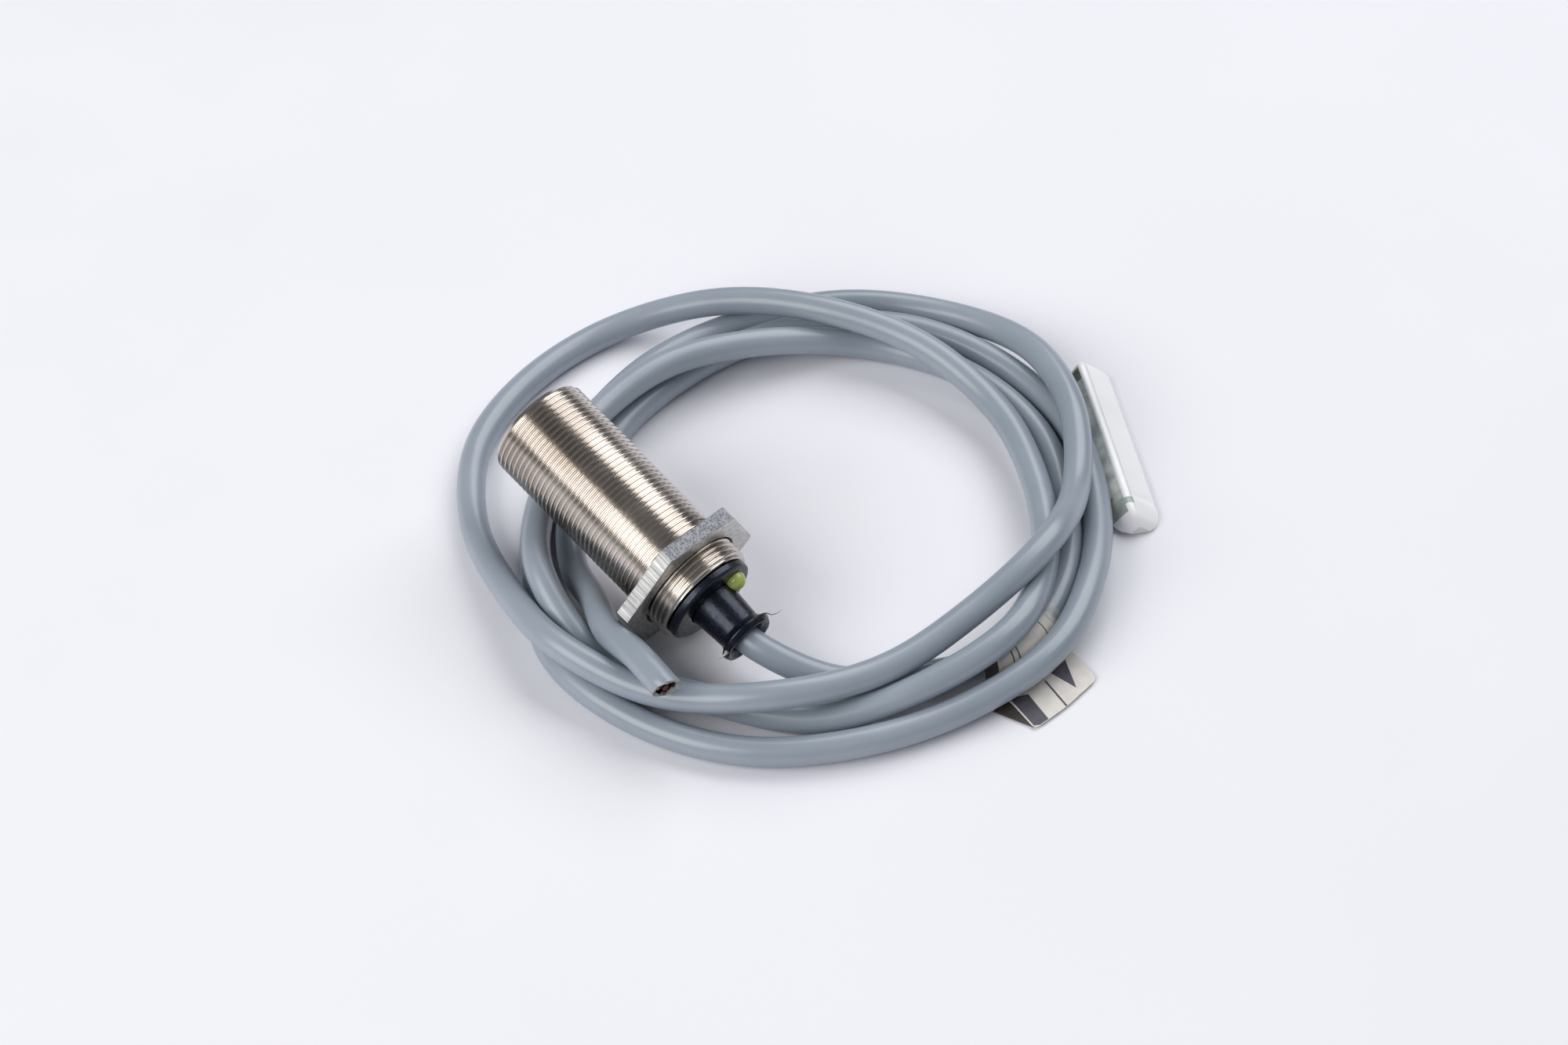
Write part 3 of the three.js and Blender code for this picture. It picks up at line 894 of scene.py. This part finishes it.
def make_tie():
    """The strap that holds the tag: it passes under the outer turn and comes out on both sides."""
    sides = 48
    middle = nearest(TIE_SPOT)
    first, last = middle - 8, middle + 9
    rows = last - first
    verts = sweep(fine_frames, 2.75, sides, first, last)
    verts += sweep(fine_frames, 2.42, sides, first, last)
    # Only the half below the cable is kept.
    _, _, side, up = fine_frames[middle]
    keep = []
    for j in range(sides):
        angle = 2 * math.pi * j / sides
        direction = side * math.cos(angle) + up * math.sin(angle)
        keep.append(direction.z < -0.1)
    faces = []
    c = rows * sides
    for i in range(rows - 1):
        a, b = i * sides, (i + 1) * sides
        for j in range(sides):
            n = (j + 1) % sides
            if keep[j] and keep[n]:
                faces.append((a + j, a + n, b + n, b + j))
                faces.append((c + a + j, c + b + j, c + b + n, c + a + n))
    strips = [
        [(-37.6, -69.0, 2.3), (-43.4, -67.6, 1.9), (-43.8, -69.3, 1.3), (-36.9, -70.8, 1.6)],
        [(-26.0, -69.5, 0.5), (-33.8, -64.6, 0.5), (-32.6, -63.2, 0.5), (-25.0, -67.8, 0.5)],
    ]
    for corners in strips:
        base = len(verts)
        verts += corners
        verts += [(x, y, z + 0.3) for x, y, z in corners]
        faces += [(base, base + 3, base + 2, base + 1), (base + 4, base + 5, base + 6, base + 7)]
        faces += [(base + k, base + (k + 1) % 4, base + 4 + (k + 1) % 4, base + 4 + k) for k in range(4)]
    return make_object("tie", verts, faces, TIE, sharp=50)


tie = make_tie()
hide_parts("tag_tie")


# ---------------------------------------------------------------- floor and light
def make_floor():
    mesh = bpy.data.meshes.new("floor")
    half = 6.0
    corners = [(-half, -half, 0), (half, -half, 0), (half, half, 0), (-half, half, 0)]
    mesh.from_pydata(corners, [], [(0, 1, 2, 3)])
    floor = bpy.data.objects.new("floor", mesh)
    scene.collection.objects.link(floor)
    mat = make_plain("floor", (0.865, 0.865, 0.91), 0.7, 0.01, 0.02)
    mesh.materials.append(mat)


make_floor()


def area_light(name, position, size, power, color):
    """A rectangular light that faces the middle of the object."""
    data = bpy.data.lights.new(name, "AREA")
    data.shape = "RECTANGLE"
    data.size, data.size_y = size
    data.energy = power
    data.color = color
    obj = bpy.data.objects.new(name, data)
    scene.collection.objects.link(obj)
    obj.location = position
    obj.rotation_euler = (CENTRE - position).to_track_quat("-Z", "Y").to_euler()


world = bpy.data.worlds.new("world")
world.use_nodes = True
sky = world.node_tree.nodes["Background"]
sky.inputs["Color"].default_value = (0.90, 0.93, 1.0, 1)
sky.inputs["Strength"].default_value = 0.19
scene.world = world
CENTRE = Vector((-0.005, -0.028, 0.0))
# Two soft boxes: one on the camera's left, one on its right and higher.
LEFT_BOX = CENTRE + Vector((0.12, 0.79, 0.60)) * 1.4
BACK_BOX = CENTRE + Vector((0.08, -0.65, 0.76)) * 1.5
area_light("left_box", LEFT_BOX, (1.3, 0.95), 15.4, (1, 0.985, 0.97))
area_light("back_box", BACK_BOX, (1.7, 1.1), 17.6, (0.98, 0.985, 1))
